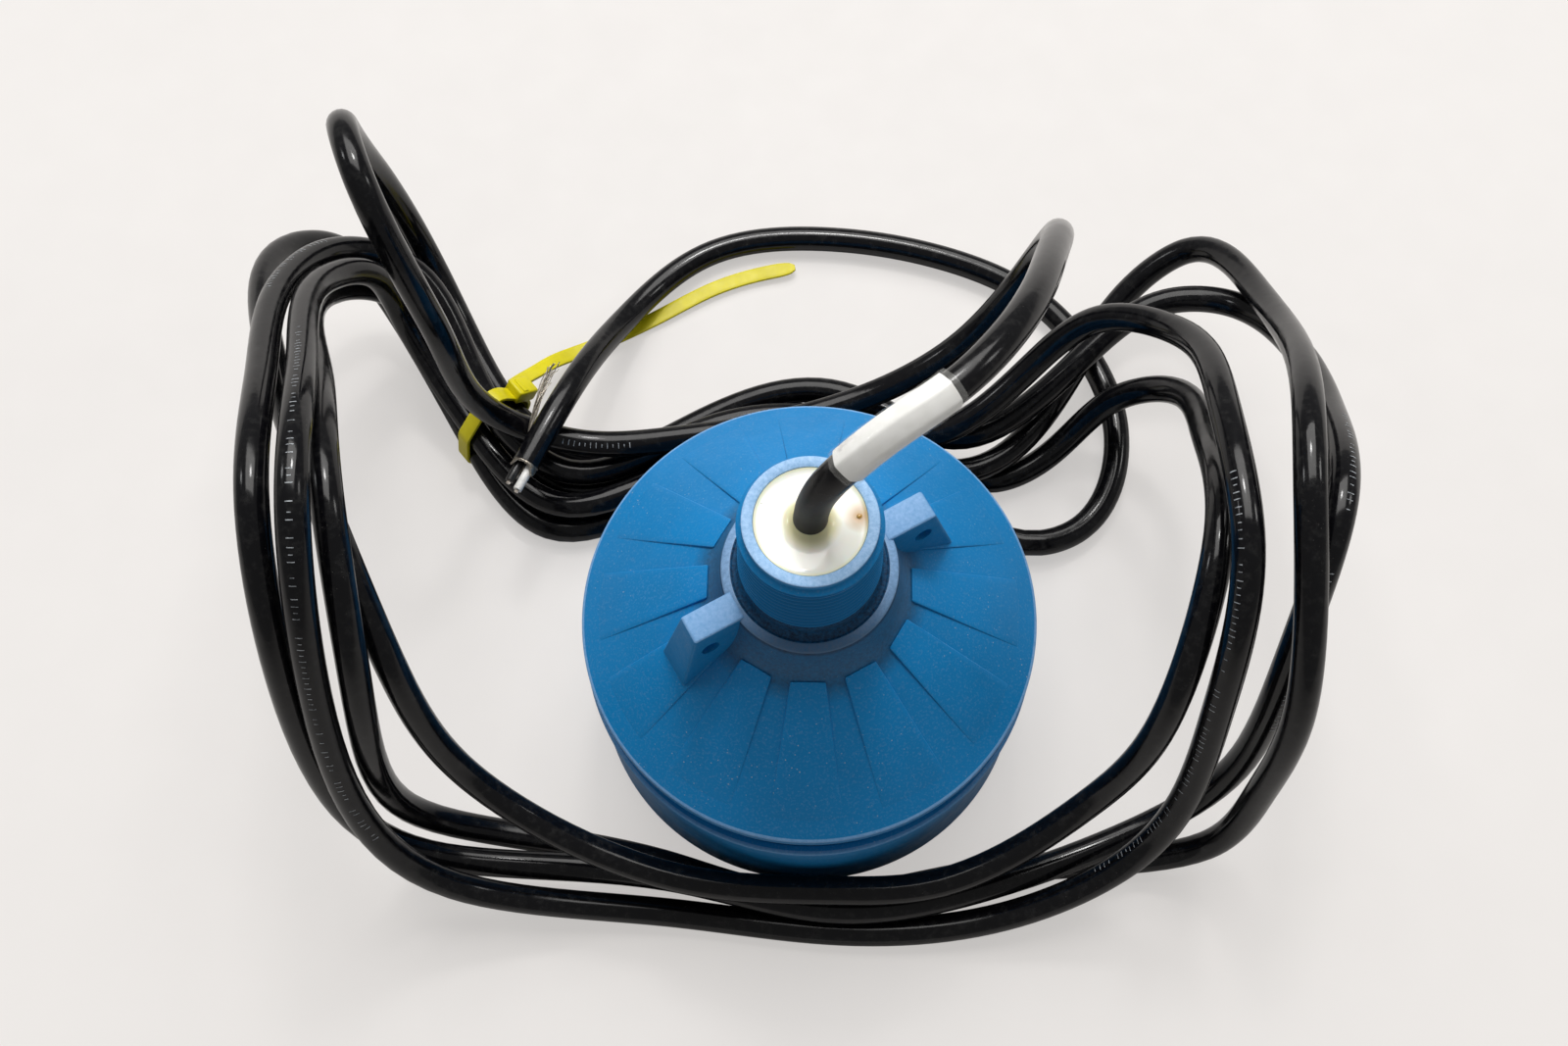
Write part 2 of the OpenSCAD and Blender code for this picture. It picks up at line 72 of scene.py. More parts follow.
TURN_3 = [
    (-100, 77, 14), (-73, 51, 12), (-28, 64, 13), (12, 65, 13), (51, 58, 13), (82, 87, 11),
    (106, 116, 22), (118, 120, 31), (130, 95, 54), (114, 7, 124), (116, -34, 91), (115, -48, 50),
    (108, -56, 15), (50, -60, 4), (0, -66, 4), (-22, -62, 4), (-43, -55, 4), (-100, -44, 14),
    (-108, -23, 99), (-110, 13, 125), (-123, 57, 96), (-133, 105, 50), (-123, 113, 32),
    (-113, 109, 17)]
TURN_4 = [
    (-93, 79, 6), (-72, 59, 4), (-29, 72, 4), (16, 78, 4), (59, 58, 4), (76, 65, 7), (93, 75, 23),
    (105, 72, 37), (107, 45, 68), (97, 0, 103), (88, -30, 84), (72, -48, 38), (34, -65, 22),
    (3, -66, 20), (-38, -62, 25), (-88, -39, 45), (-103, -15, 95), (-116, 18, 111), (-140, 71, 84),
    (-146, 119, 51), (-137, 126, 36), (-125, 117, 14)]
FAR_LOOP = [
    (-102, 77, 6), (-77, 47, 4), (-27, 63, 4), (14, 69, 4), (71, 37, 5), (84, 42, 4), (97, 70, 5),
    (93, 94, 4), (77, 118, 4), (47, 135, 4), (9, 143, 4), (-29, 138, 4), (-53, 114, 10),
    (-69, 76, 34), (-79.3, 54.5, 36.4)]
ROUTE = EXIT_ARC + HAIRPIN + TURN_1 + TURN_2 + TURN_3 + TURN_4 + FAR_LOOP

# The jacket's radius in metres, and how many points the cable's line takes for each span of the
# route
CABLE_RADIUS = .0039
POINTS_PER_SPAN = 12

# The label runs between these points of the route. Walls are (gap from the jacket, thickness).
LABEL_SPAN = (3, 5)
LABEL_WALL = (.00042, .00018)
SLEEVE_WALL = (.0008, .0002)

# Levels and radii of the housing, in millimetres, as in the part's source
MM = .001
CONE_FOOT = (59.5, 60.7)
HUB_FOOT = (25.3, 86.5)
CONE_SLOPE = (HUB_FOOT[1] - CONE_FOOT[1]) / (CONE_FOOT[0] - HUB_FOOT[0])
JOINT_Z = 45.4
NECK_R, NECK_Z = 57.6, 56
COLLAR_R, COLLAR_Z = 21.1, 100.2
TOP_Z = 132
THREAD_Z = (105.2, 128.0)
THREAD_PITCH = 2.209

# The thread's root at the gauge level, and how far it rises for each unit that it narrows
THREAD_ROOT, GAUGE_Z, TAPER = 15.6, 116, 32

# The lugs: (inner radius, outer radius, half thickness) at the foot and at the top, and the
# hole's (distance from the axis, level, radius)
LUG_DEGREES = 27.4
LUG_FOOT_Z = 72
LUG_FOOT, LUG_TOP = (18.0, 40.0, 5.75), (19.6, 33.0, 3.75)
LUG_HOLE = (29.6, 92.3, 2.4)

# Raised panels on the cone: (inner radius, outer radius, height at the hub, depth at the flange)
PANEL_COUNT = 12
PANEL_DEGREES = 19.5
PANEL = (25.6, 54.6, .95, .3)

# Where the amber bubble is in the resin, in millimetres
AMBER_SPOT = (10.9, .9)

# The tie, in millimetres, about 2.5 mm from its place in the part's source, as in the photo. Its
# strands are (across, height) in the strap's own plane, and TIE_REACH is from a strand's middle
# to the strap. The tail narrows over its tip.
TIE_AT = (-94, 77.5)
TIE_DEGREES = 38
TIE_STRANDS = [(7.7, 14.2), (2.6, 22.2), (-4.8, 14.2), (1.8, 6.6), (-6.6, 5.9)]
TIE_REACH = 5.7
TIE_WIDTH = 4.8
TIE_HEAD_DEGREES = 50
TIE_TAIL = [(-86, 87, 20.3), (-83.4, 91, 16.5), (-80.5, 95.3, 12), (-76, 100.5, 7.5),
            (-68, 106, 3), (-58, 111, 1.5), (-42, 119, 1.5), (-27, 127, 1.5), (-12, 132, 1.5),
            (0, 134, 2)]
TIE_TIP, TIE_TIP_HALF = 7, .9

# The cores at the bare end: (piece, side, length, finish, CAD node, slot)
CORES = (("core_black_end", -1, 7, "black", "end_core_black", "black_plastic"),
         ("core_white_end", 1, 8.5, "white", "end_core_white", "white_plastic"))
CORE_OFFSET, CORE_RADIUS, CORE_TIP_RADIUS = 1.7, 1.3, 1.25

# Each core's strands: one in the middle, the others on a circle and leaning out, in degrees
STRANDS, STRAND_RADIUS, STRAND_CIRCLE, STRAND_LEAN = 7, .2, .42, 2.888

# The pigtail's path and wires, in millimetres. They twist round by some radians and part after a
# share of its length, each its own way.
BRAID = [(-79.5, 54, 34.3), (-80.3, 52.5, 32.4), (-80.5, 53, 31), (-80.3, 56, 30.4),
         (-79.5, 60, 30.3), (-79, 66.5, 31), (-78, 71.5, 32), (-76.5, 76.5, 33), (-75, 81, 33),
         (-73.2, 84.5, 33), (-71.8, 87, 33)]
WIRES, WIRE_RADIUS = 16, .15
TWIST, LOOSE_FROM, SPRAY = 11, .62, 2.2 / .23

# Torn flaps of the foil at the cut, as (degrees round it, half width, length)
FLAPS = [(20, 38, 2.6), (150, 30, 1.6), (250, 34, 2.2)]
FOIL_STEPS, FOIL_TEAR, FOIL_FLARE = 48, .5, .06

# Stretches of the cable with printing, as (from, to, degrees from the top); here plain ticks
PRINTED = [(61.4, 64.2, -5), (42.6, 43.7, 10), (12.3, 13.4, 30), (32.2, 34.3, 15),
           (54.5, 57.3, -40)]
TICK_STEP, TICK_SHARE = .0017, .78

# The camera as solved from the photo
CAMERA_AT = (-.005872, -.125917, .4785)
CAMERA_TILT, CAMERA_ROLL = 19.912, -1.602
CAMERA_LENS = 38.25

# Lamps as name: (place, size, power, colour)
LAMPS = {
    "key_lamp": ((.08, 1.62, 2.50), 2.5, 84, (1, .985, .965)),
    "core_lamp": ((.04, .62, 1.02), .14, 2.8, (1, .99, .98)),
    "side_lamp": ((1.05, .30, .85), .22, 1.0, (1, .99, .97)),
    "left_lamp": ((-1.0, .45, .80), .18, .8, (.97, .985, 1)),
}
LAMP_TARGET = Vector((0, .02, .05))

# The world's strength as light, and as the camera sees it
WORLD_LIGHT, WORLD_SEEN = .24, .90

# The table stands just under the foot. Its glow makes up for light that the shadows take, and
# other rays than the camera's see it darker, so that it doesn't light the object from below.
TABLE_Z = -.0004
GLOW_GAIN, BOUNCE_SHARE = 1.06, .75

# A band of painted sheen and wear that fades to the front, where less light falls on it, does
# so over this many metres of Y, about the axis
FRONT_FADE = 1 / 24

UP = Vector((0, 0, 1))
MATERIALS = {}


# ---- curves and paths

def smooth_path(points, per_span):
    """Points of a natural cubic spline through the given ones, with knots at chord length."""
    q = np.array(points, dtype=float)
    h = np.linalg.norm(np.diff(q, axis=0), axis=1)
    n = len(q)
    a = np.eye(n)
    b = np.zeros((n, 3))
    slope = np.diff(q, axis=0) / h[:, None]
    for i in range(1, n - 1):
        a[i, i - 1] = h[i - 1]
        a[i, i] = 2 * (h[i - 1] + h[i])
        a[i, i + 1] = h[i]
        b[i] = 6 * (slope[i] - slope[i - 1])
    m = np.linalg.solve(a, b)
    out = []
    for i in range(n - 1):
        for k in range(per_span):
            t = h[i] * k / per_span
            u = h[i] - t
            out.append(m[i] * u ** 3 / (6 * h[i]) + m[i + 1] * t ** 3 / (6 * h[i])
                       + (q[i] / h[i] - m[i] * h[i] / 6) * u
                       + (q[i + 1] / h[i] - m[i + 1] * h[i] / 6) * t)
    out.append(q[-1])
    return [Vector(p) for p in out]


def scaled(values, share):
    return tuple(v * share for v in values)


def cable_line():
    """The cable's middle line, in metres."""
    return smooth_path([scaled(p, MM) for p in ROUTE], POINTS_PER_SPAN)


def heading(line, i):
    """A line's direction at one of its points, and the level direction across it."""
    way = (line[min(i + 1, len(line) - 1)] - line[max(i - 1, 0)]).normalized()
    return way, UP.cross(way).normalized()


def new_object(name, data):
    obj = bpy.data.objects.new(name, data)
    bpy.context.collection.objects.link(obj)
    return obj


def evaluated_mesh(obj):
    """The object's mesh as its curve settings and modifiers make it."""
    bpy.context.view_layer.update()
    return bpy.data.meshes.new_from_object(
        obj.evaluated_get(bpy.context.evaluated_depsgraph_get()))


def curve_piece(name, points, radius, sides, radii=None, caps=True):
    """A round tube on one open spline; radii scale it point by point."""
    data = bpy.data.curves.new(name, "CURVE")
    data.dimensions = "3D"
    data.bevel_depth = radius
    data.bevel_resolution = sides // 2 - 2
    data.use_fill_caps = caps
    spline = data.splines.new("POLY")
    spline.points.add(len(points) - 1)
    for i, p in enumerate(points):
        spline.points[i].co = (*p, 1)
        spline.points[i].radius = radii[i] if radii else 1
    spline.use_smooth = True
    return new_object(name, data)


def tube_mesh(points, radius, sides, radii=None, caps=False):
    """The mesh of such a tube, for pieces that aren't cords."""
    obj = curve_piece("temporary_tube", points, radius, sides, radii, caps)
    mesh = evaluated_mesh(obj)
    bpy.data.objects.remove(obj)
    bm = bmesh.new()
    bm.from_mesh(mesh)
    bpy.data.meshes.remove(mesh)
    bmesh.ops.remove_doubles(bm, verts=bm.verts, dist=1e-6)
    bmesh.ops.recalc_face_normals(bm, faces=bm.faces)
    return bm


# ---- meshes

def mesh_from(name, bm):
    """Makes a mesh of a bmesh, and frees the bmesh."""
    mesh = bpy.data.meshes.new(name)
    bm.to_mesh(mesh)
    bm.free()
    return mesh


def shade(mesh, degrees):
    """Smooth shading, with the edges above an angle left sharp."""
    mesh.shade_smooth()
    mesh.set_sharp_from_angle(angle=math.radians(degrees))


def piece(name, bm, material, replaces=(), angle=32, unit=MM):
    """Makes the object of a finished bmesh and puts it on the body."""
    resize(bm, unit, unit, unit)
    mesh = mesh_from(name, bm)
    shade(mesh, angle)
    mesh.materials.append(MATERIALS[material])
    obj = new_object(name, mesh)
    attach(obj, BODY)
    if replaces:
        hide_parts(*replaces)
    return obj


def resize(bm, x, y, z):
    bmesh.ops.scale(bm, vec=(x, y, z), verts=bm.verts)


def move(bm, way):
    bmesh.ops.translate(bm, vec=way, verts=bm.verts)


def rotate(bm, matrix):
    bmesh.ops.rotate(bm, cent=(0, 0, 0), matrix=matrix, verts=bm.verts)


def turn(bm, degrees, axis="Z"):
    rotate(bm, Matrix.Rotation(math.radians(degrees), 3, axis))


def put_along(bm, at, way):
    """Turns what stands on +Z to lie along a direction, from a point."""
    rotate(bm, way.to_track_quat("Z", "Y").to_matrix())
    move(bm, at)


def face_along(bm, way):
    """Makes the faces agree, and turns them over if most look away from way(middle)."""
    bmesh.ops.recalc_face_normals(bm, faces=bm.faces)
    if sum(f.normal.dot(way(f.calc_center_median())) for f in bm.faces) < 0:
        bmesh.ops.reverse_faces(bm, faces=bm.faces)


def add_to(whole, bm):
    """Adds one bmesh to another."""
    mesh = mesh_from("temporary", bm)
    whole.from_mesh(mesh)
    bpy.data.meshes.remove(mesh)


def cut(obj, cutter_bm):
    """Cuts a bmesh's shape, in millimetres, out of an object's mesh."""
    resize(cutter_bm, MM, MM, MM)
    cutter = new_object("cutter", mesh_from("cutter", cutter_bm))
    modifier = obj.modifiers.new("cut", "BOOLEAN")
    modifier.object = cutter
    modifier.solver = "EXACT"
    result = evaluated_mesh(obj)
    obj.modifiers.remove(modifier)
    obj.data = result
    bpy.data.objects.remove(cutter)


def arc(cx, cz, r, start, end, n=5):
    angles = [math.radians(start + (end - start) * i / n) for i in range(n + 1)]
    return [(cx + r * math.cos(a), cz + r * math.sin(a)) for a in angles]


def spun(profile, steps=160, angle=360, start=0, closed=True, rise=0):
    """Spins a profile of (radius, height) points about Z, in millimetres; rise is per step."""
    bm = bmesh.new()
    verts = [bm.verts.new((r, 0, z)) for r, z in profile]
    turn(bm, start)
    pairs = zip(verts, verts[1:] + verts[:1] if closed else verts[1:])
    edges = [bm.edges.new(pair) for pair in pairs]
    full = angle == 360
    bmesh.ops.spin(bm, geom=verts + edges, cent=(0, 0, 0), axis=UP, dvec=(0, 0, rise),
                   angle=math.radians(angle), steps=steps, use_merge=full, use_duplicate=False)
    if closed and not full:
        bmesh.ops.holes_fill(bm, edges=bm.edges, sides=0)
    bmesh.ops.remove_doubles(bm, verts=bm.verts, dist=1e-4)
    bmesh.ops.recalc_face_normals(bm, faces=bm.faces)
    return bm


def round_edges(bm, width, degrees=30, segments=3, test=lambda p: True):
    """Rounds the edges that bend by more than an angle and lie where the test says."""
    limit = math.radians(degrees)
    edges = [e for e in bm.edges if len(e.link_faces) == 2 and e.calc_face_angle(0) > limit
             and all(test(v.co) for v in e.verts)]
    bmesh.ops.bevel(bm, geom=edges, offset=width, offset_type="OFFSET", affect="EDGES",
                    segments=segments, profile=.5, material=-1, clamp_overlap=True)


def block(size, at):
    bm = bmesh.new()
    bmesh.ops.create_cube(bm, size=1)
    resize(bm, *size)
    move(bm, at)
    return bm


def rod(sides, radius, length, middle=0, tip=None):
    """A round bar along Z with its middle at a height."""
    bm = bmesh.new()
    bmesh.ops.create_cone(bm, cap_ends=True, segments=sides, radius1=radius,
                          radius2=tip or radius, depth=length)
    move(bm, (0, 0, middle))
    return bm


def cone_z(r):
    """The cone's height at a radius."""
    return CONE_FOOT[1] + (CONE_FOOT[0] - r) * CONE_SLOPE


# ---- materials

class Nodes:
    """Short calls for one material's nodes."""

    def __init__(self, name, **sockets):
        self.material = bpy.data.materials.new(name)
        self.material.use_nodes = True
        self.tree = self.material.node_tree
        self.shader = self.tree.nodes["Principled BSDF"]
        for key, value in sockets.items():
            self.shader.inputs[key.replace("_", " ")].default_value = value
        self.place = self.add("TexCoord").outputs["Object"]

    def link(self, a, b):
        self.tree.links.new(a, b)

    def feed(self, socket, value):
        """Sets a socket to a number or a colour, or links an output to it."""
        if isinstance(value, (int, float)):
            socket.default_value = value
        elif isinstance(value, tuple):
            socket.default_value = (*value, 1)
        else:
            self.link(value, socket)

    def add(self, kind, **values):
        node = self.tree.nodes.new("ShaderNode" + kind)
        for key, value in values.items():
            setattr(node, key, value)
        return node

    def texture(self, kind, output, **inputs):
        node = self.add("Tex" + kind)
        self.link(self.place, node.inputs["Vector"])
        for key, value in inputs.items():
            node.inputs[key].default_value = value
        return node.outputs[output]

    def noise(self, scale, detail=4, rough=.55):
        return self.texture("Noise", "Fac", Scale=scale, Detail=detail, Roughness=rough)

    def ramp(self, value, stops):
        node = self.add("ValToRGB")
        ramp = node.color_ramp
        while len(ramp.elements) < len(stops):
            ramp.elements.new(.5)
        for element, (at, colour) in zip(ramp.elements, stops):
            element.position = at
            grey = isinstance(colour, (int, float))
            element.color = (colour, colour, colour, 1) if grey else (*colour, 1)
        self.link(value, node.inputs["Fac"])
        return node.outputs["Color"]

    def mottle(self, noise, low, high, stops=(.3, .7)):
        """From one value or colour to another as a noise rises between two stops."""
        return self.ramp(self.noise(*noise), [(stops[0], low), (stops[1], high)])

    def mix(self, factor, a, b):
        node = self.add("Mix", data_type="RGBA")
        for index, value in ((0, factor), (6, a), (7, b)):
            self.feed(node.inputs[index], value)
        return node.outputs[2]

    def maths(self, operation, a, b=0.):
        node = self.add("Math", operation=operation)
        self.feed(node.inputs[0], a)
        self.feed(node.inputs[1], b)
        return node.outputs[0]

    def specks(self, tone, scale, amount, edge, patches, colour):
        """Scatters flecks over a tone where the patches' mottle allows; edge is their rim."""
        cells = self.texture("Voronoi", "Distance", Scale=scale)
        fleck = self.ramp(cells, [(0, amount), (edge[0], amount), (edge[1], 0)])
        return self.mix(self.maths("MULTIPLY", fleck, self.mottle(*patches)), tone, colour)

    def split(self):
        node = self.add("SeparateXYZ")
        self.link(self.place, node.inputs[0])
        return node.outputs

    def radius(self, x0=0., y0=0.):
        """Distance from an upright line."""
        x, y, _ = self.split()
        away = [self.maths("SUBTRACT", x, x0), self.maths("SUBTRACT", y, y0)]
        return self.maths("SQRT", self.maths("ADD", *(self.maths("MULTIPLY", a, a) for a in away)))

    def near(self, value, at, width):
        """1 where the value is at a level, falling to 0 at the width from it."""
        away = self.maths("ABSOLUTE", self.maths("SUBTRACT", value, at))
        return self.maths("SUBTRACT", 1, self.maths("DIVIDE", away, width))

    def bump(self, height, distance, strength, under=None):
        node = self.add("Bump")
        for key, value in (("Strength", strength), ("Distance", distance), ("Height", height)):
            self.feed(node.inputs[key], value)
        if under:
            self.link(under, node.inputs["Normal"])
        return node.outputs["Normal"]

    def finish(self, colour, roughness, normal=None):
        for name, value in (("Base Color", colour), ("Roughness", roughness), ("Normal", normal)):
            if value is not None:
                self.link(value, self.shader.inputs[name])
        return self.material


def housing_material(name, colour, wear_sheen_and_shade_bands):
    """Moulded blue fluoropolymer: fine grain and dust, with bands of wear, painted sheen or painted
    shade.

    Each band is (level, half width, least radius, amount, share left at the front,
    colour), in millimetres.
    """
    n = Nodes(name, IOR=1.37)
    pale = tuple(c + (.5 - c) * .16 for c in colour)
    cloud = n.mottle((38, 3), scaled(colour, .9), colour, (.35, .62))
    base = n.mix(n.mottle((1500, 2), 0, .55, (.52, .75)), cloud, pale)
    base = n.specks(base, 620, .8, (.085, .11), ((55, 3), 0, .8, (.48, .66)), (.55, .56, .42))
    rough = n.mottle((260, 4), .38, .52)
    _, y, z = n.split()
    radius = n.radius()
    # Each band mixes in its tint: wear with painted sheen or highlight, or painted shade
    for level, width, least, amount, front, tint in wear_sheen_and_shade_bands:
        band = n.maths("MULTIPLY", n.near(z, level * MM, width * MM), 3)
        band = n.maths("MAXIMUM", n.maths("MINIMUM", band, 1), 0)
        if least:
            band = n.maths("MULTIPLY", band, n.maths("GREATER_THAN", radius, least * MM))
        if front < 1:
            depth = n.maths("ADD", n.maths("DIVIDE", y, FRONT_FADE), .5)
            band = n.maths("MULTIPLY", band, n.ramp(depth, [(.05, front), (.38, 1)]))
        fleck = n.mottle((1100, 6, .75), amount * .55, amount, (.34, .66))
        factor = n.maths("MULTIPLY", band, fleck)
        base = n.mix(factor, base, tint)
        rough = n.mix(factor, rough, (.5, .5, .5))
    grain = n.bump(n.noise(2600, 2), .00004, .5)
    return n.finish(base, rough, n.bump(n.noise(70, 3), .0004, .12, grain))


def thread_material(colour):
    """The housing's blue, with painted shade in the bottom of the thread's helical groove."""
    n = Nodes("thread_blue", IOR=1.37)
    x, y, z = n.split()
    round_it = n.maths("DIVIDE", n.maths("ARCTAN2", y, x), 2 * math.pi)
    climb = n.maths("DIVIDE", n.maths("SUBTRACT", z, THREAD_Z[0] * MM), THREAD_PITCH * MM)
    phase = n.maths("FRACT", n.maths("SUBTRACT", climb, round_it))
    groove_shade, light = scaled(colour, .02), scaled(colour, .9)
    # Painted shade: nearly black along the bottom of the helical groove, the housing's blue on the
    # crests
    tone = n.ramp(phase, [(.20, light), (.38, groove_shade), (.62, groove_shade), (.80, light)])
    return n.finish(tone, n.mottle((500,), .34, .48), n.bump(n.noise(2600, 2), .00004, .5))


def jacket_material():
    """Black cable jacket: glossy, dusty, and matt where it stands in the potting."""
    n = Nodes("cable_jacket", IOR=1.38)
    dirt = n.mottle((420, 5, .65), (.003, .003, .004), .02, (.5, .82))
    dirt = n.specks(dirt, 900, .5, (.07, .10), ((60,), 0, .7, (.5, .7)), (.30, .29, .26))
    rough = n.mottle((110, 4), .10, .22, (.35, .7))
    height = n.maths("SUBTRACT", n.split()[2], .13)
    foot = n.maths("MULTIPLY", n.maths("LESS_THAN", n.radius(), .012),
                   n.ramp(height, [(.008, 1), (.026, 0)]))
    rough = n.mix(foot, rough, (.62, .62, .62))
    dirt = n.mix(n.maths("MULTIPLY", foot, .5), dirt, (.012, .010, .006))
    return n.finish(dirt, rough, n.bump(n.noise(240, 3), .0002, .18))


def resin_material():
    """Cream resin, yellower at the cable and the rim, with an amber bubble and bits of dirt; partly
    painted shade at the cable.
    """
    n = Nodes("cream_resin", IOR=1.5, Subsurface_Weight=.18, Subsurface_Scale=.004,
              Coat_Weight=.5, Coat_Roughness=.04)
    cream = (.97, .96, .88)
    # Darker and browner towards the cable: yellowed resin in its meniscus, with painted shade where
    # it meets the cable
    tone = n.ramp(n.maths("DIVIDE", n.radius(), .0135),
                  [(.30, (.62, .56, .30)), (.40, (.80, .77, .52)), (.54, cream), (.88, cream),
                   (.97, (.88, .83, .50))])
    spot = n.radius(AMBER_SPOT[0] * MM, AMBER_SPOT[1] * MM)
    amber = n.ramp(n.maths("DIVIDE", spot, .005), [(.05, 1), (.8, 0)])
    tone = n.mix(amber, tone, (.45, .22, .02))
    tone = n.specks(tone, 420, .7, (.05, .07), ((150,), 0, 1, (.58, .66)), (.25, .20, .12))
    return n.finish(tone, n.mottle((300,), .10, .2), n.bump(n.noise(180, 2), .0004, .15))


def label_material():
    """White vinyl with grey smudges."""
    n = Nodes("label_vinyl", IOR=1.45)
    paper = n.mottle((260, 4), (.90, .90, .87), (.97, .97, .95), (.35, .62))
    smudge = n.mottle((120, 5, .6), 0, .5, (.60, .68))
    return n.finish(n.mix(smudge, paper, (.46, .46, .45)), n.mottle((500,), .35, .5),
                    n.bump(n.noise(330, 3), .0002, .3))


def mottled_material(name, tone, rough, bump=None, **sockets):
    """A finish whose tone and roughness are mottles, with one grain."""
    n = Nodes(name, **sockets)
    grain = n.bump(n.noise(*bump[0]), *bump[1:]) if bump else None
    return n.finish(n.mottle(*tone), n.mottle(*rough), grain)


def plain_material(name, low, high, rough, scale, metallic):
    """A mottled finish for the sealed pieces, with all its noises on one scale."""
    return mottled_material(name, ((scale,), low, high), ((scale * 2,), rough - .06, rough + .06),
                            ((scale * 4, 2), .0001, .5), Metallic=metallic)


# Mottled finishes as (name, tone, roughness, grain, shader values)
MOTTLED = {
    "ticks": ("tick_ink", ((1500, 3), (.1, .11, .12), (.42, .45, .48), (.35, .6)),
              ((800,), .4, .6), None, {"IOR": 1.45}),
    "sleeve": ("shrink_sleeve", ((300, 3), (.8, .8, .74), (.9, .9, .88)),
               ((420,), .06, .2, (.3, .75)), ((170, 3), .0005, .35),
               {"IOR": 1.5, "Alpha": .07, "Specular_IOR_Level": 1, "Coat_Weight": 1,
                "Coat_Roughness": .05}),
    "tie": ("tie_nylon", ((120, 3), (.58, .51, .003), (.7, .62, .005)),
            ((700,), .34, .48), ((1300, 2), .0001, .3), {"IOR": 1.4}),
    "braid": ("tinned_braid", ((900,), (.3, .26, .2), (.62, .58, .52)),
              ((700,), .28, .5), ((2400, 2), .0002, .5), {"Metallic": 1, "IOR": 1.5}),
    "tinned": ("tinned_strand", ((800,), (.62, .54, .46), (.86, .82, .76)),
               ((600,), .25, .42), ((1500, 2), .0001, .4), {"Metallic": 1}),
    "white": ("core_white", ((500, 3), (.62, .62, .6), (.8, .8, .78)),
              ((600,), .35, .5), ((1200,), .0001, .3), {"IOR": 1.45}),
    "black": ("core_black", ((500, 3), (.008, .008, .009), .02),
              ((600,), .25, .45), ((1200,), .0001, .3), {"IOR": 1.45}),
}


def make_materials(blue):
    """Fills MATERIALS with every finish of the seen pieces, by name."""
    # Pale tints: scuffs with painted lamp sheen on the collar ring, nipple top and lug tops, and a
    # painted highlight with some wear on the rim lip and the cup's shoulder
    scuff_and_sheen, top_scuff_and_sheen = (.27, .47, .76), (.42, .64, .92)
    # Dark tints: painted shade in the hub's hollow below the collar, and painted shadow in the gap
    # round the nipple's foot
    hub_shade, shadow = (.016, .058, .12), (.001, .010, .034)
    MATERIALS["housing"] = housing_material("housing_blue", blue, [
        (92, 9, 0, .85, 1, hub_shade), (101.4, 4.2, 16, 1, 1, shadow), (99.9, 1.0, 19.2, .9, .35, scuff_and_sheen),
        (TOP_Z, .3, 0, .95, 1, top_scuff_and_sheen), (60.7, .9, 58.8, .75, 1, scuff_and_sheen)])
    MATERIALS["lugs"] = housing_material("lug_blue", blue, [(COLLAR_Z, .45, 0, .9, 1, scuff_and_sheen)])
    MATERIALS["cup"] = housing_material("cup_blue", scaled(blue, .9),
                                        [(45.2, .9, 59.3, .45, 1, scuff_and_sheen)])
    MATERIALS["thread"] = thread_material(blue)
    MATERIALS["jacket"] = jacket_material()
    MATERIALS["resin"] = resin_material()
    MATERIALS["label"] = label_material()
    for key, (name, tone, rough, grain, sockets) in MOTTLED.items():
        MATERIALS[key] = mottled_material(name, tone, rough, grain, **sockets)


# ---- property groups

class LookSettings(bpy.types.PropertyGroup):
    housing_colour: bpy.props.FloatVectorProperty(
        name="Housing colour", description="Base colour of the blue mouldings, linear",
        default=(.001, .205, .51), subtype="COLOR", min=0, max=1)
    floor_colour: bpy.props.FloatVectorProperty(
        name="Floor colour", description="Colour of the table under the object, linear",
        default=(.80, .775, .755), subtype="COLOR", min=0, max=1)
    floor_glow: bpy.props.FloatProperty(
        name="Floor glow", description="Share of the table's tone that doesn't take shadows",
        default=.6, min=0, max=1)
    thread_depth: bpy.props.FloatProperty(
        name="Thread depth", description="Height of the pipe thread, root to crest",
        default=.0013, min=.0005, max=.0018, unit="LENGTH")
    cable_sides: bpy.props.IntProperty(
        name="Cable sides", description="Number of flat sides round the cable", default=20,
        min=8, max=48)


def look():
    return bpy.context.scene.transducer_look


# ---- operators

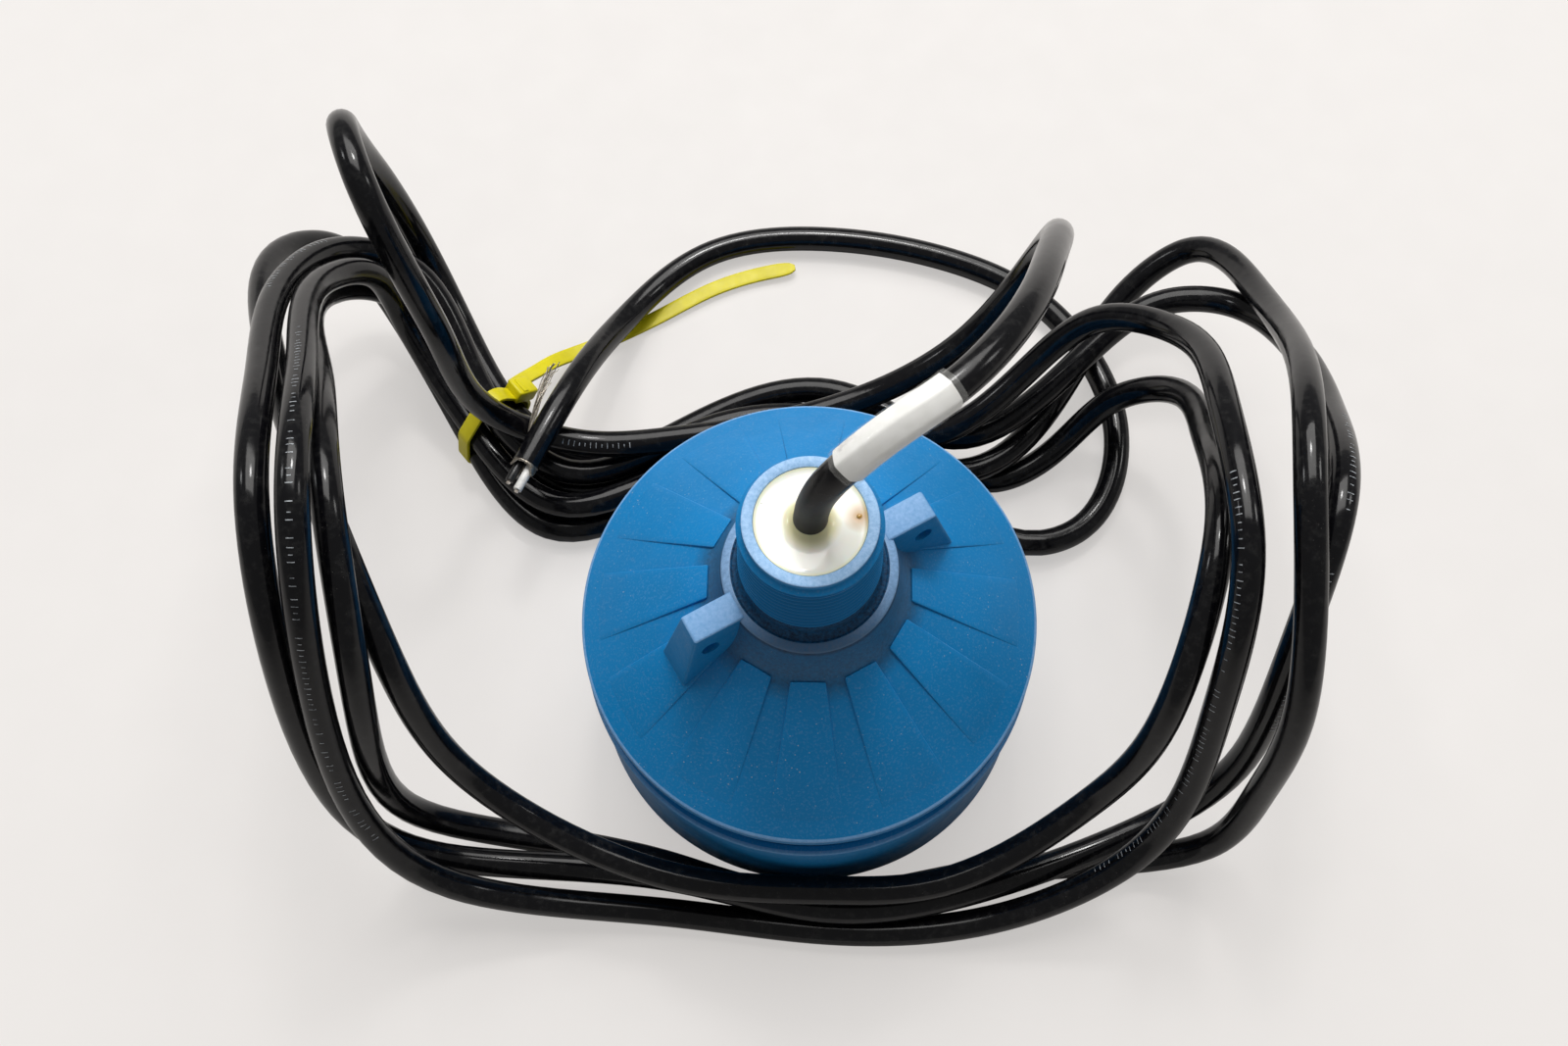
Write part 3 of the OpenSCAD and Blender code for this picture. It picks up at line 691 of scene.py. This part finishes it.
class STAGE_OT_table(bpy.types.Operator):
    """Camera, lamps, world and the pale table"""
    bl_idname = "transducer.stage"
    bl_label = "Stage"

    def execute(self, context):
        context.scene.view_settings.view_transform = "Standard"
        self.camera(context.scene)
        for name, values in LAMPS.items():
            self.lamp(name, *values)
        self.world(context.scene)
        self.table()
        return {"FINISHED"}

    def camera(self, scene):
        data = bpy.data.cameras.new("camera")
        data.sensor_fit = "HORIZONTAL"
        data.sensor_width = 36
        data.lens = CAMERA_LENS
        data.clip_start = .01
        scene.camera = new_object("camera", data)
        scene.camera.matrix_world = (Matrix.Translation(CAMERA_AT)
                                     @ Matrix.Rotation(math.radians(CAMERA_TILT), 4, "X")
                                     @ Matrix.Rotation(math.radians(CAMERA_ROLL), 4, "Z"))

    def lamp(self, name, at, size, power, colour):
        data = bpy.data.lights.new(name, "AREA")
        data.size = size
        data.energy = power
        data.color = colour
        rotation = (Vector(at) - LAMP_TARGET).to_track_quat("Z", "Y").to_matrix().to_4x4()
        new_object(name, data).matrix_world = Matrix.Translation(at) @ rotation

    def world(self, scene):
        world = bpy.data.worlds.new("studio")
        world.use_nodes = True
        scene.world = world
        nodes, links = world.node_tree.nodes, world.node_tree.links
        background = nodes["Background"]
        background.inputs["Color"].default_value = (.98, .97, .96, 1)
        rays = nodes.new("ShaderNodeLightPath")
        strength = nodes.new("ShaderNodeMapRange")
        strength.inputs["To Min"].default_value = WORLD_LIGHT
        strength.inputs["To Max"].default_value = WORLD_SEEN
        links.new(rays.outputs["Is Camera Ray"], strength.inputs["Value"])
        links.new(strength.outputs[0], background.inputs["Strength"])

    def table(self):
        bm = bmesh.new()
        bmesh.ops.create_grid(bm, x_segments=1, y_segments=1, size=3)
        move(bm, (0, 0, TABLE_Z))
        table = new_object("table", mesh_from("table", bm))
        n = Nodes("table_paper")
        colour, glow = tuple(look().floor_colour), look().floor_glow
        tone = n.mottle((9, 3), scaled(colour, .985), colour)
        tone = n.specks(tone, 75, .30, (.012, .018), ((14,), 0, 1, (.60, .68)), (.40, .30, .24))
        eye = n.add("LightPath")
        seen = n.maths("MAXIMUM", eye.outputs["Is Camera Ray"], eye.outputs["Is Transmission Ray"])
        n.link(tone, n.shader.inputs["Emission Color"])
        n.link(n.maths("MULTIPLY", seen, glow * GLOW_GAIN), n.shader.inputs["Emission Strength"])
        dim = n.mix(glow, tone, (0., 0., 0.))
        tone = n.mix(seen, scaled(colour, BOUNCE_SHARE), dim)
        table.data.materials.append(n.finish(tone, n.mottle((60,), .7, .85)))


class PIECE_OT_cable(bpy.types.Operator):
    """The jacketed cable, from the potting round its turns to the cut end"""
    bl_idname = "transducer.cable"
    bl_label = "Cable"

    def execute(self, context):
        obj = curve_piece("signal_cable_jacket", cable_line(), CABLE_RADIUS, look().cable_sides)
        obj.data.materials.append(MATERIALS["jacket"])
        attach(obj, BODY)
        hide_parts("signal_cable")
        return {"FINISHED"}


class PIECE_OT_label(bpy.types.Operator):
    """White label round the cable, and the clear shrink sleeve over it"""
    bl_idname = "transducer.label"
    bl_label = "Label and sleeve"
    sides = 60
    flats = 6
    crease_turn, crease_depth, slack = .5, .6, .02

    def execute(self, context):
        first, last = (at * POINTS_PER_SPAN for at in LABEL_SPAN)
        line = cable_line()[first:last + 1]
        self.wall("label_wrap", line, line[1:-1], LABEL_WALL, "label", "white_plastic", "id_label")
        # The sleeve is slightly uneven, and drawn in at its ends
        random.seed(4)
        radii = [1 + .012 * math.sin(i * 1.7) + .01 * random.random() for i in range(len(line))]
        radii[0] = radii[-1] = .985
        self.wall("shrink_sleeve", line, line, SLEEVE_WALL, "sleeve", "clear_sleeve",
                  "label_sleeve", radii)
        return {"FINISHED"}

    def wall(self, name, line, points, size, material, slot, node, radii=None):
        """One thin creased tube round the cable."""
        gap, thickness = size
        bm = tube_mesh(points, CABLE_RADIUS + gap, self.sides, radii)
        self.crease(bm, line)
        bmesh.ops.solidify(bm, geom=bm.faces[:], thickness=thickness)
        piece(name, bm, material, [node], unit=1)

    def crease(self, bm, line):
        """Draws a round tube into soft flats with lengthwise creases between them."""
        flat = 2 * math.pi / self.flats
        for v in bm.verts:
            i = min(range(len(line)), key=lambda k: (line[k] - v.co).length_squared)
            way, across = heading(line, i)
            out = v.co - line[i]
            out -= out.dot(way) * way
            angle = math.atan2(out.dot(way.cross(across)), out.dot(across))
            lean = (angle + self.crease_turn) % flat - flat / 2
            bend = math.cos(flat / 2) / math.cos(lean) - 1
            v.co += out * (bend * self.crease_depth + self.slack)


class PIECE_OT_ticks(bpy.types.Operator):
    """Plain tick marks along the cable, where the real one is printed"""
    bl_idname = "transducer.ticks"
    bl_label = "Cable ticks"
    heights = (7, 12, 12)
    rows = 5
    lift = .00004
    half_width = .00012

    def execute(self, context):
        points = cable_line()
        bm = bmesh.new()
        random.seed(9)
        for start, stop, degrees in PRINTED:
            run = points[round(start * POINTS_PER_SPAN):round(stop * POINTS_PER_SPAN) + 1]
            gone, due = 0, TICK_STEP
            for a, b in zip(run, run[1:]):
                span = (b - a).length
                while due < gone + span:
                    if random.random() < TICK_SHARE:
                        self.tick(bm, a.lerp(b, (due - gone) / span), (b - a).normalized(), degrees)
                    due += TICK_STEP
                gone += span
        piece("cable_ticks", bm, "ticks", unit=1)
        return {"FINISHED"}

    def tick(self, bm, at, way, degrees):
        """One bar across the cable, curved with its surface."""
        up = (UP - way.z * way).normalized()
        across = up.cross(way)
        tall = random.choice(self.heights)
        rows = []
        for k in range(self.rows):
            angle = math.radians(degrees + tall * (2 * k / (self.rows - 1) - 1))
            out = (CABLE_RADIUS + self.lift) * (math.cos(angle) * up + math.sin(angle) * across)
            rows.append([bm.verts.new(at + out + side * self.half_width * way)
                         for side in (-1, 1)])
        for low, high in zip(rows, rows[1:]):
            bm.faces.new((low[0], low[1], high[1], high[0]))


class PIECE_OT_cup(bpy.types.Operator):
    """Front cup with its radiating face"""
    bl_idname = "transducer.cup"
    bl_label = "Front housing"

    def execute(self, context):
        profile = ([(0, 0)] + arc(58.5, 2, 2, -90, 0)
                   + [(59.7, 36.3), (60.2, 37), (60.3, 44.2)] + arc(59.5, 44.6, .8, 0, 90)
                   + [(57.8, JOINT_Z), (57.8, 44.6), (56.2, 44.6), (56.2, 5), (55.2, 4), (0, 4)])
        bm = spun(profile, closed=False)
        round_edges(bm, .25)
        piece("front_cup", bm, "cup", ["front_housing"])
        return {"FINISHED"}


class PIECE_OT_cone(bpy.types.Operator):
    """Rear housing: cone, hub, collar and nipple"""
    bl_idname = "transducer.cone"
    bl_label = "Rear housing"

    def execute(self, context):
        under, lip, rim = .6, .8, .3
        profile = ([(50, 33), (55.4, 33), (56, 33.6), (56, 38), (53, 38), (53, 41.4), (56, 41.4),
                    (56, JOINT_Z), (NECK_R, JOINT_Z), (NECK_R, NECK_Z)]
                   + arc(CONE_FOOT[0] - under, NECK_Z + under, under, -90, 0)
                   + arc(CONE_FOOT[0] - lip, CONE_FOOT[1] - lip, lip, 0, 53)
                   + self.hub_curve()
                   + [(21.35, 99.3), (21.15, 99.6), (20.9, 99.75), (19.6, 100.15),
                      (19.2, COLLAR_Z), (18.8, 100.1), (18.6, 99.9), (17.9, 100.1),
                      (17.3, 100.7), (16.95, 101.6), (16.8, 103.2), (16.7, 104.2),
                      (16.0, 104.8), (15.4, 128.2), (16.5, 128.5), (16.75, 128.8),
                      (16.75, 129.0), (15.75, 129.9), (15.5, 130.1), (15.5, 131.7)]
                   + arc(15.2, TOP_Z - rim, rim, 0, 90, 3)
                   + [(13.15, TOP_Z), (12.9, TOP_Z - .15), (12.85, TOP_Z - .5), (12.85, 94),
                      (16, 90), (25.3, 81.5), (50, 62.9)])
        bm = spun(profile, 200)
        piece("rear_shell", bm, "housing", ["rear_housing"], angle=38)
        return {"FINISHED"}

    def hub_curve(self, steps=8):
        """The hollow sweep from the cone up to the collar."""
        a, b, c = Vector((26.8, cone_z(26.8))), Vector((23.0, 88.4)), Vector((COLLAR_R + .4, 98.6))
        shares = [i / steps for i in range(steps + 1)]
        return [tuple(a.lerp(b, t).lerp(b.lerp(c, t), t)) for t in shares]


class PIECE_OT_panels(bpy.types.Operator):
    """Raised panels round the cone, with narrow channels between them"""
    bl_idname = "transducer.panels"
    bl_label = "Cone panels"

    def execute(self, context):
        whole = bmesh.new()
        inner, outer, height, sunk = PANEL
        root = 2
        for i in range(PANEL_COUNT):
            middle = LUG_DEGREES + i * 360 / PANEL_COUNT
            profile = [(inner, cone_z(inner) - root), (outer, cone_z(outer) - root),
                       (outer, cone_z(outer) - sunk), (inner, cone_z(inner) + height)]
            bm = spun(profile, 10, PANEL_DEGREES, middle - PANEL_DEGREES / 2)
            self.straighten(bm, middle, inner)
            round_edges(bm, .3, 40)
            add_to(whole, bm)
        piece("cone_panels", whole, "lugs")
        return {"FINISHED"}

    def straighten(self, bm, middle, inner):
        """Draws the panel's inner end back from an arc to a straight edge."""
        for v in bm.verts:
            r = v.co.xy.length
            if r < inner + .01:
                lean = math.atan2(v.co.y, v.co.x) - math.radians(middle)
                scale = math.cos(math.radians(PANEL_DEGREES / 2)) / math.cos(lean)
                v.co.z += r * (1 - scale) * CONE_SLOPE
                v.co.xy *= scale


class PIECE_OT_lugs(bpy.types.Operator):
    """The two drilled lugs beside the collar"""
    bl_idname = "transducer.lugs"
    bl_label = "Lugs"

    def execute(self, context):
        lugs, holes = bmesh.new(), bmesh.new()
        hole_x, hole_z, hole_r = LUG_HOLE
        for degrees in (LUG_DEGREES, LUG_DEGREES + 180):
            lug = block((2, 2, COLLAR_Z - LUG_FOOT_Z), (0, 0, (COLLAR_Z + LUG_FOOT_Z) / 2))
            for v in lug.verts:
                inner, outer, half = LUG_FOOT if v.co.z < hole_z else LUG_TOP
                v.co.x = outer if v.co.x > 0 else inner
                v.co.y = math.copysign(half, v.co.y)
            # The edges inside the hub stay sharp
            round_edges(lug, .7, 30, 4, lambda p: p.x > 25 or p.z > 95)
            hole = rod(40, hole_r, 20)
            turn(hole, 90, "X")
            move(hole, (hole_x, 0, hole_z))
            for whole, bm in ((lugs, lug), (holes, hole)):
                turn(bm, degrees)
                add_to(whole, bm)
        obj = piece("mounting_lugs", lugs, "lugs")
        cut(obj, holes)
        shade(obj.data, 32)
        return {"FINISHED"}


class PIECE_OT_thread(bpy.types.Operator):
    """The nipple's tapered pipe thread"""
    bl_idname = "transducer.thread"
    bl_label = "Pipe thread"
    steps_per_turn = 72
    half_crest = .14
    run_in, run_out = 2.4, 2.2

    def execute(self, context):
        low, high = THREAD_Z
        turns = (high - low) / THREAD_PITCH
        steps = int(turns * self.steps_per_turn)
        crest = THREAD_ROOT + look().thread_depth / MM
        half = THREAD_PITCH / 2
        profile = [(THREAD_ROOT, low - half), (crest, low - self.half_crest),
                   (crest, low + self.half_crest), (THREAD_ROOT, low + half)]
        bm = spun(profile, steps, turns * 360, closed=False, rise=(high - low) / steps)
        for v in bm.verts:
            r, z = v.co.xy.length, v.co.z
            fade = min(1, max(0, (z - low + half) / self.run_in),
                       max(0, (high + half - z) / self.run_out))
            v.co.xy *= (THREAD_ROOT + (r - THREAD_ROOT) * fade + (GAUGE_Z - z) / TAPER) / r
        face_along(bm, lambda middle: Vector((*middle.xy, 0)))
        piece("pipe_thread", bm, "thread", angle=28)
        return {"FINISHED"}


class PIECE_OT_resin(bpy.types.Operator):
    """Cream resin that closes the nipple, drawn up at its edge and at the cable"""
    bl_idname = "transducer.resin"
    bl_label = "Potting resin"

    def execute(self, context):
        surface = [(12.8, -.25), (12.5, -.38), (12.0, -.52), (11.2, -.62), (9.5, -.68),
                   (7.6, -.66), (6.2, -.5), (5.2, -.2), (4.5, .3), (4.1, .85), (3.92, 1.5)]
        profile = [(3.95, 112), (12.8, 112)] + [(r, TOP_Z + z) for r, z in surface]
        bm = spun(profile, 128)
        piece("resin_cap", bm, "resin", ["potting_cap"], angle=60)
        drop = bmesh.new()
        bmesh.ops.create_uvsphere(drop, u_segments=20, v_segments=12, radius=.62)
        resize(drop, 1, 1, .45)
        move(drop, (*AMBER_SPOT, TOP_Z - .6))
        piece("resin_bubble", drop, "resin", angle=80)
        return {"FINISHED"}


class PIECE_OT_tie(bpy.types.Operator):
    """Yellow nylon tie: loop, locking head and long tail"""
    bl_idname = "transducer.tie"
    bl_label = "Cable tie"
    strap, tail_strap = 1.15, 1.1

    def execute(self, context):
        whole = self.loop()
        head = block((4.6, 6.4, 7.6), (7.65, 0, 0))
        round_edges(head, .7)
        slot = block((1.2, 5.2, 2.0), (9.7, 0, 1.2))
        round_edges(slot, .25, 30, 2)
        add_to(head, slot)
        turn(head, -TIE_HEAD_DEGREES, "Y")
        across, height = TIE_STRANDS[0]
        move(head, (across, 0, height))
        self.to_place(head)
        add_to(whole, head)
        add_to(whole, self.tail())
        piece("nylon_tie", whole, "tie", ["cable_tie"])
        return {"FINISHED"}

    def to_place(self, bm):
        """From the strap's own plane, with its width on Y, to its place."""
        turn(bm, TIE_DEGREES)
        move(bm, (*TIE_AT, 0))

    def loop(self):
        strip = bmesh.new()
        verts = [strip.verts.new((w, -TIE_WIDTH / 2, z)) for w, z in self.outline()]
        edges = [strip.edges.new(pair) for pair in zip(verts, verts[1:] + verts[:1])]
        wall = bmesh.ops.extrude_edge_only(strip, edges=edges)["geom"]
        bmesh.ops.translate(strip, vec=(0, TIE_WIDTH, 0),
                            verts=[v for v in wall if isinstance(v, bmesh.types.BMVert)])
        face_along(strip, lambda middle: middle - Vector((0, 0, 14)))
        bmesh.ops.solidify(strip, geom=strip.faces[:], thickness=self.strap)
        round_edges(strip, .3, 60)
        self.to_place(strip)
        return strip

    def outline(self):
        """The taut line round all the strands, in the strap's plane."""
        ring = [math.radians(i * 9) for i in range(40)]
        points = [(w + TIE_REACH * math.cos(a), z + TIE_REACH * math.sin(a))
                  for w, z in TIE_STRANDS for a in ring]
        return [points[i] for i in convex_hull_2d(points)]

    def tail(self):
        line = smooth_path(TIE_TAIL, 8)
        last = len(line) - 1
        bm = bmesh.new()
        bmesh.ops.create_grid(bm, x_segments=last, y_segments=4, size=1)
        for v in bm.verts:
            i = round((v.co.x + 1) / 2 * last)
            half = TIE_WIDTH / 2
            left = (line[last] - line[i]).length
            if left <= TIE_TIP:
                half = (TIE_TIP_HALF
                        + (half - TIE_TIP_HALF) * math.sqrt(1 - (1 - left / TIE_TIP) ** 2))
            v.co = line[i] + heading(line, i)[1] * v.co.y * half
        face_along(bm, lambda middle: UP)
        move(bm, (0, 0, self.tail_strap / 2))
        bmesh.ops.solidify(bm, geom=bm.faces[:], thickness=self.tail_strap)
        round_edges(bm, .25, 50, 2)
        return bm


class PIECE_OT_bare_end(bpy.types.Operator):
    """The cable's cut end: two cores, their strands and the shield's pigtail"""
    bl_idname = "transducer.bare_end"
    bl_label = "Bare end"

    def execute(self, context):
        end = Vector(ROUTE[-1])
        way = (end - Vector(ROUTE[-2])).normalized()
        across = UP.cross(way).normalized() * CORE_OFFSET
        strands = bmesh.new()
        random.seed(11)
        for name, side, length, material, node, slot in CORES:
            core = rod(24, CORE_RADIUS, length, length / 2, CORE_TIP_RADIUS)
            round_edges(core, .18, 40, 2)
            foot = end + across * side
            put_along(core, foot, way)
            piece(name, core, material, [node])
            for k in range(STRANDS):
                strand = rod(8, STRAND_RADIUS, .9 + .3 * random.random(), .25)
                if k:
                    angle = 2 * math.pi * k / (STRANDS - 1)
                    spread = STRAND_CIRCLE * Vector((math.cos(angle), math.sin(angle), 0))
                    turn(strand, STRAND_LEAN, (-spread.y, spread.x, 0))
                    move(strand, spread)
                put_along(strand, foot + way * length, way)
                add_to(strands, strand)
        piece("bare_strands", strands, "tinned", ["end_strands"])
        self.braid()
        self.cut_face(end, way)
        return {"FINISHED"}

    def braid(self):
        """Fine wires twisted into a pigtail, loose at the tip."""
        line = smooth_path(BRAID, 10)
        last = len(line) - 1
        whole = bmesh.new()
        random.seed(7)
        for k in range(WIRES):
            phase = 2 * math.pi * k / WIRES
            stray = Vector((random.uniform(-1, 1), random.uniform(-1, 1), random.uniform(-.4, .8)))
            end = last - random.randint(0, 16)
            out = .72 if k % 3 else .3
            wire = []
            for i, p in enumerate(line[:end + 1]):
                t = i / last
                way, a = heading(line, i)
                b = way.cross(a)
                twist = phase + TWIST * t
                wire.append(p + out * (math.cos(twist) * a + math.sin(twist) * b)
                            + stray * SPRAY * max(0, t - LOOSE_FROM) ** 1.5)
            add_to(whole, tube_mesh(wire, WIRE_RADIUS, 8, caps=True))
        piece("braid_pigtail", whole, "braid", ["shield_braid"], angle=60)

    def cut_face(self, end, way):
        """Folded foil and filler that show in the jacket's open end."""
        profile = [(2.9, -.6), (3.5, -.6), (3.55, .5), (3.2, .9), (2.9, .5)]
        bm = spun(profile, FOIL_STEPS)
        random.seed(5)
        torn = [random.random() for _ in range(FOIL_STEPS)]
        for v in bm.verts:
            if v.co.z > .4:
                at = math.degrees(math.atan2(v.co.y, v.co.x)) % 360
                reach = FOIL_TEAR * torn[round(at / (360 / FOIL_STEPS)) % FOIL_STEPS]
                for middle, wide, tall in FLAPS:
                    reach += max(0, 1 - abs((at - middle + 180) % 360 - 180) / wide) * tall
                v.co.z += reach
                v.co.xy *= 1 + FOIL_FLARE * reach
        put_along(bm, end, way)
        piece("foil_rim", bm, "braid")


# Finishes of the sealed pieces: (name, low tone, high tone, roughness, scale, metallic)
SEALED = {
    "joint_seal": ("seal_rubber", .01, .03, .6, 400, 0),
    "matching_layer": ("matching_mix", (.6, .56, .42), (.74, .71, .58), .6, 500, 0),
    "load_plate": ("turned_plate", (.55, .56, .58), (.7, .71, .72), .32, 350, 1),
    "isolation_ring": ("grey_foam", (.05, .05, .06), (.1, .1, .11), .85, 700, 0),
    "backing_foam": ("backing_grey", (.06, .065, .07), (.12, .125, .13), .85, 700, 0),
    "front_electrode": ("copper_foil", (.6, .28, .15), (.8, .45, .27), .3, 500, 1),
    "piezo_disc": ("piezo_fired", (.42, .36, .26), (.55, .48, .36), .55, 400, 0),
    "circuit_board": ("board_mask", (.01, .12, .04), (.016, .17, .06), .35, 300, 0),
    "transformer_core": ("ferrite_grey", (.02, .02, .022), (.045, .045, .05), .6, 500, 0),
    "transformer_winding": ("enamel_wire", (.42, .14, .04), (.62, .25, .09), .3, 900, .8),
    "tuning_capacitor": ("film_capacitor", (.35, .03, .02), (.48, .05, .03), .4, 300, 0),
    "temperature_sensor": ("sensor_epoxy", (.015, .015, .017), (.03, .03, .033), .4, 400, 0),
    "piezo_leads": ("lead_red", (.4, .02, .015), (.52, .03, .02), .4, 500, 0),
    "sensor_lead": ("lead_yellow", (.6, .45, .03), (.72, .56, .05), .4, 500, 0),
    "terminal_pins": ("tinned_pin", (.5, .5, .48), (.68, .68, .66), .3, 500, 1),
    "potting_fill": ("clear_potting", (.42, .36, .22), (.52, .46, .3), .2, 150, 0),
}

# Sealed pieces that share another's finish
SHARED = {
    "rear_electrode": "front_electrode", "drain_wire": "terminal_pins",
    "lead_black": "black", "lead_white": "white", "board_spacers": "white",
    "transformer_bobbin": "white",
}


class PIECE_OT_sealed(bpy.types.Operator):
    """Finishes of the sealed pieces, which keep their CAD shapes"""
    bl_idname = "transducer.sealed"
    bl_label = "Sealed pieces"

    def execute(self, context):
        made = {node: plain_material(*finish) for node, finish in SEALED.items()}
        for node, source in SHARED.items():
            made[node] = made.get(source) or MATERIALS[source]
        for node, material in made.items():
            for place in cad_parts[node].material_slots:
                place.material = material
        return {"FINISHED"}


class PIECE_OT_declare(bpy.types.Operator):
    bl_idname = "transducer.declare"
    bl_label = "Declare the cord"

    def execute(self, context):
        return {"FINISHED"}


OPERATORS = (STAGE_OT_table, PIECE_OT_cable, PIECE_OT_label, PIECE_OT_cup, PIECE_OT_cone,
             PIECE_OT_ticks, PIECE_OT_panels, PIECE_OT_lugs, PIECE_OT_thread, PIECE_OT_resin,
             PIECE_OT_tie, PIECE_OT_bare_end, PIECE_OT_sealed, PIECE_OT_declare)


class VIEW3D_PT_transducer(bpy.types.Panel):
    """Sizes, colours and pieces of the transducer"""
    bl_label = "Transducer"
    bl_idname = "VIEW3D_PT_transducer"
    bl_space_type = "VIEW_3D"
    bl_region_type = "UI"
    bl_category = "Transducer"

    def draw(self, context):
        settings = context.scene.transducer_look
        for name in LookSettings.__annotations__:
            self.layout.prop(settings, name)
        for operator in OPERATORS:
            self.layout.operator(operator.bl_idname)


CLASSES = (LookSettings, *OPERATORS, VIEW3D_PT_transducer)


def register():
    for cls in CLASSES:
        bpy.utils.register_class(cls)
    bpy.types.Scene.transducer_look = bpy.props.PointerProperty(type=LookSettings)


def unregister():
    del bpy.types.Scene.transducer_look
    for cls in reversed(CLASSES):
        bpy.utils.unregister_class(cls)


def main():
    register()
    make_materials(tuple(look().housing_colour))
    for operator in OPERATORS:
        group, name = operator.bl_idname.split(".")
        getattr(getattr(bpy.ops, group), name)()


if __name__ == "__main__":
    main()
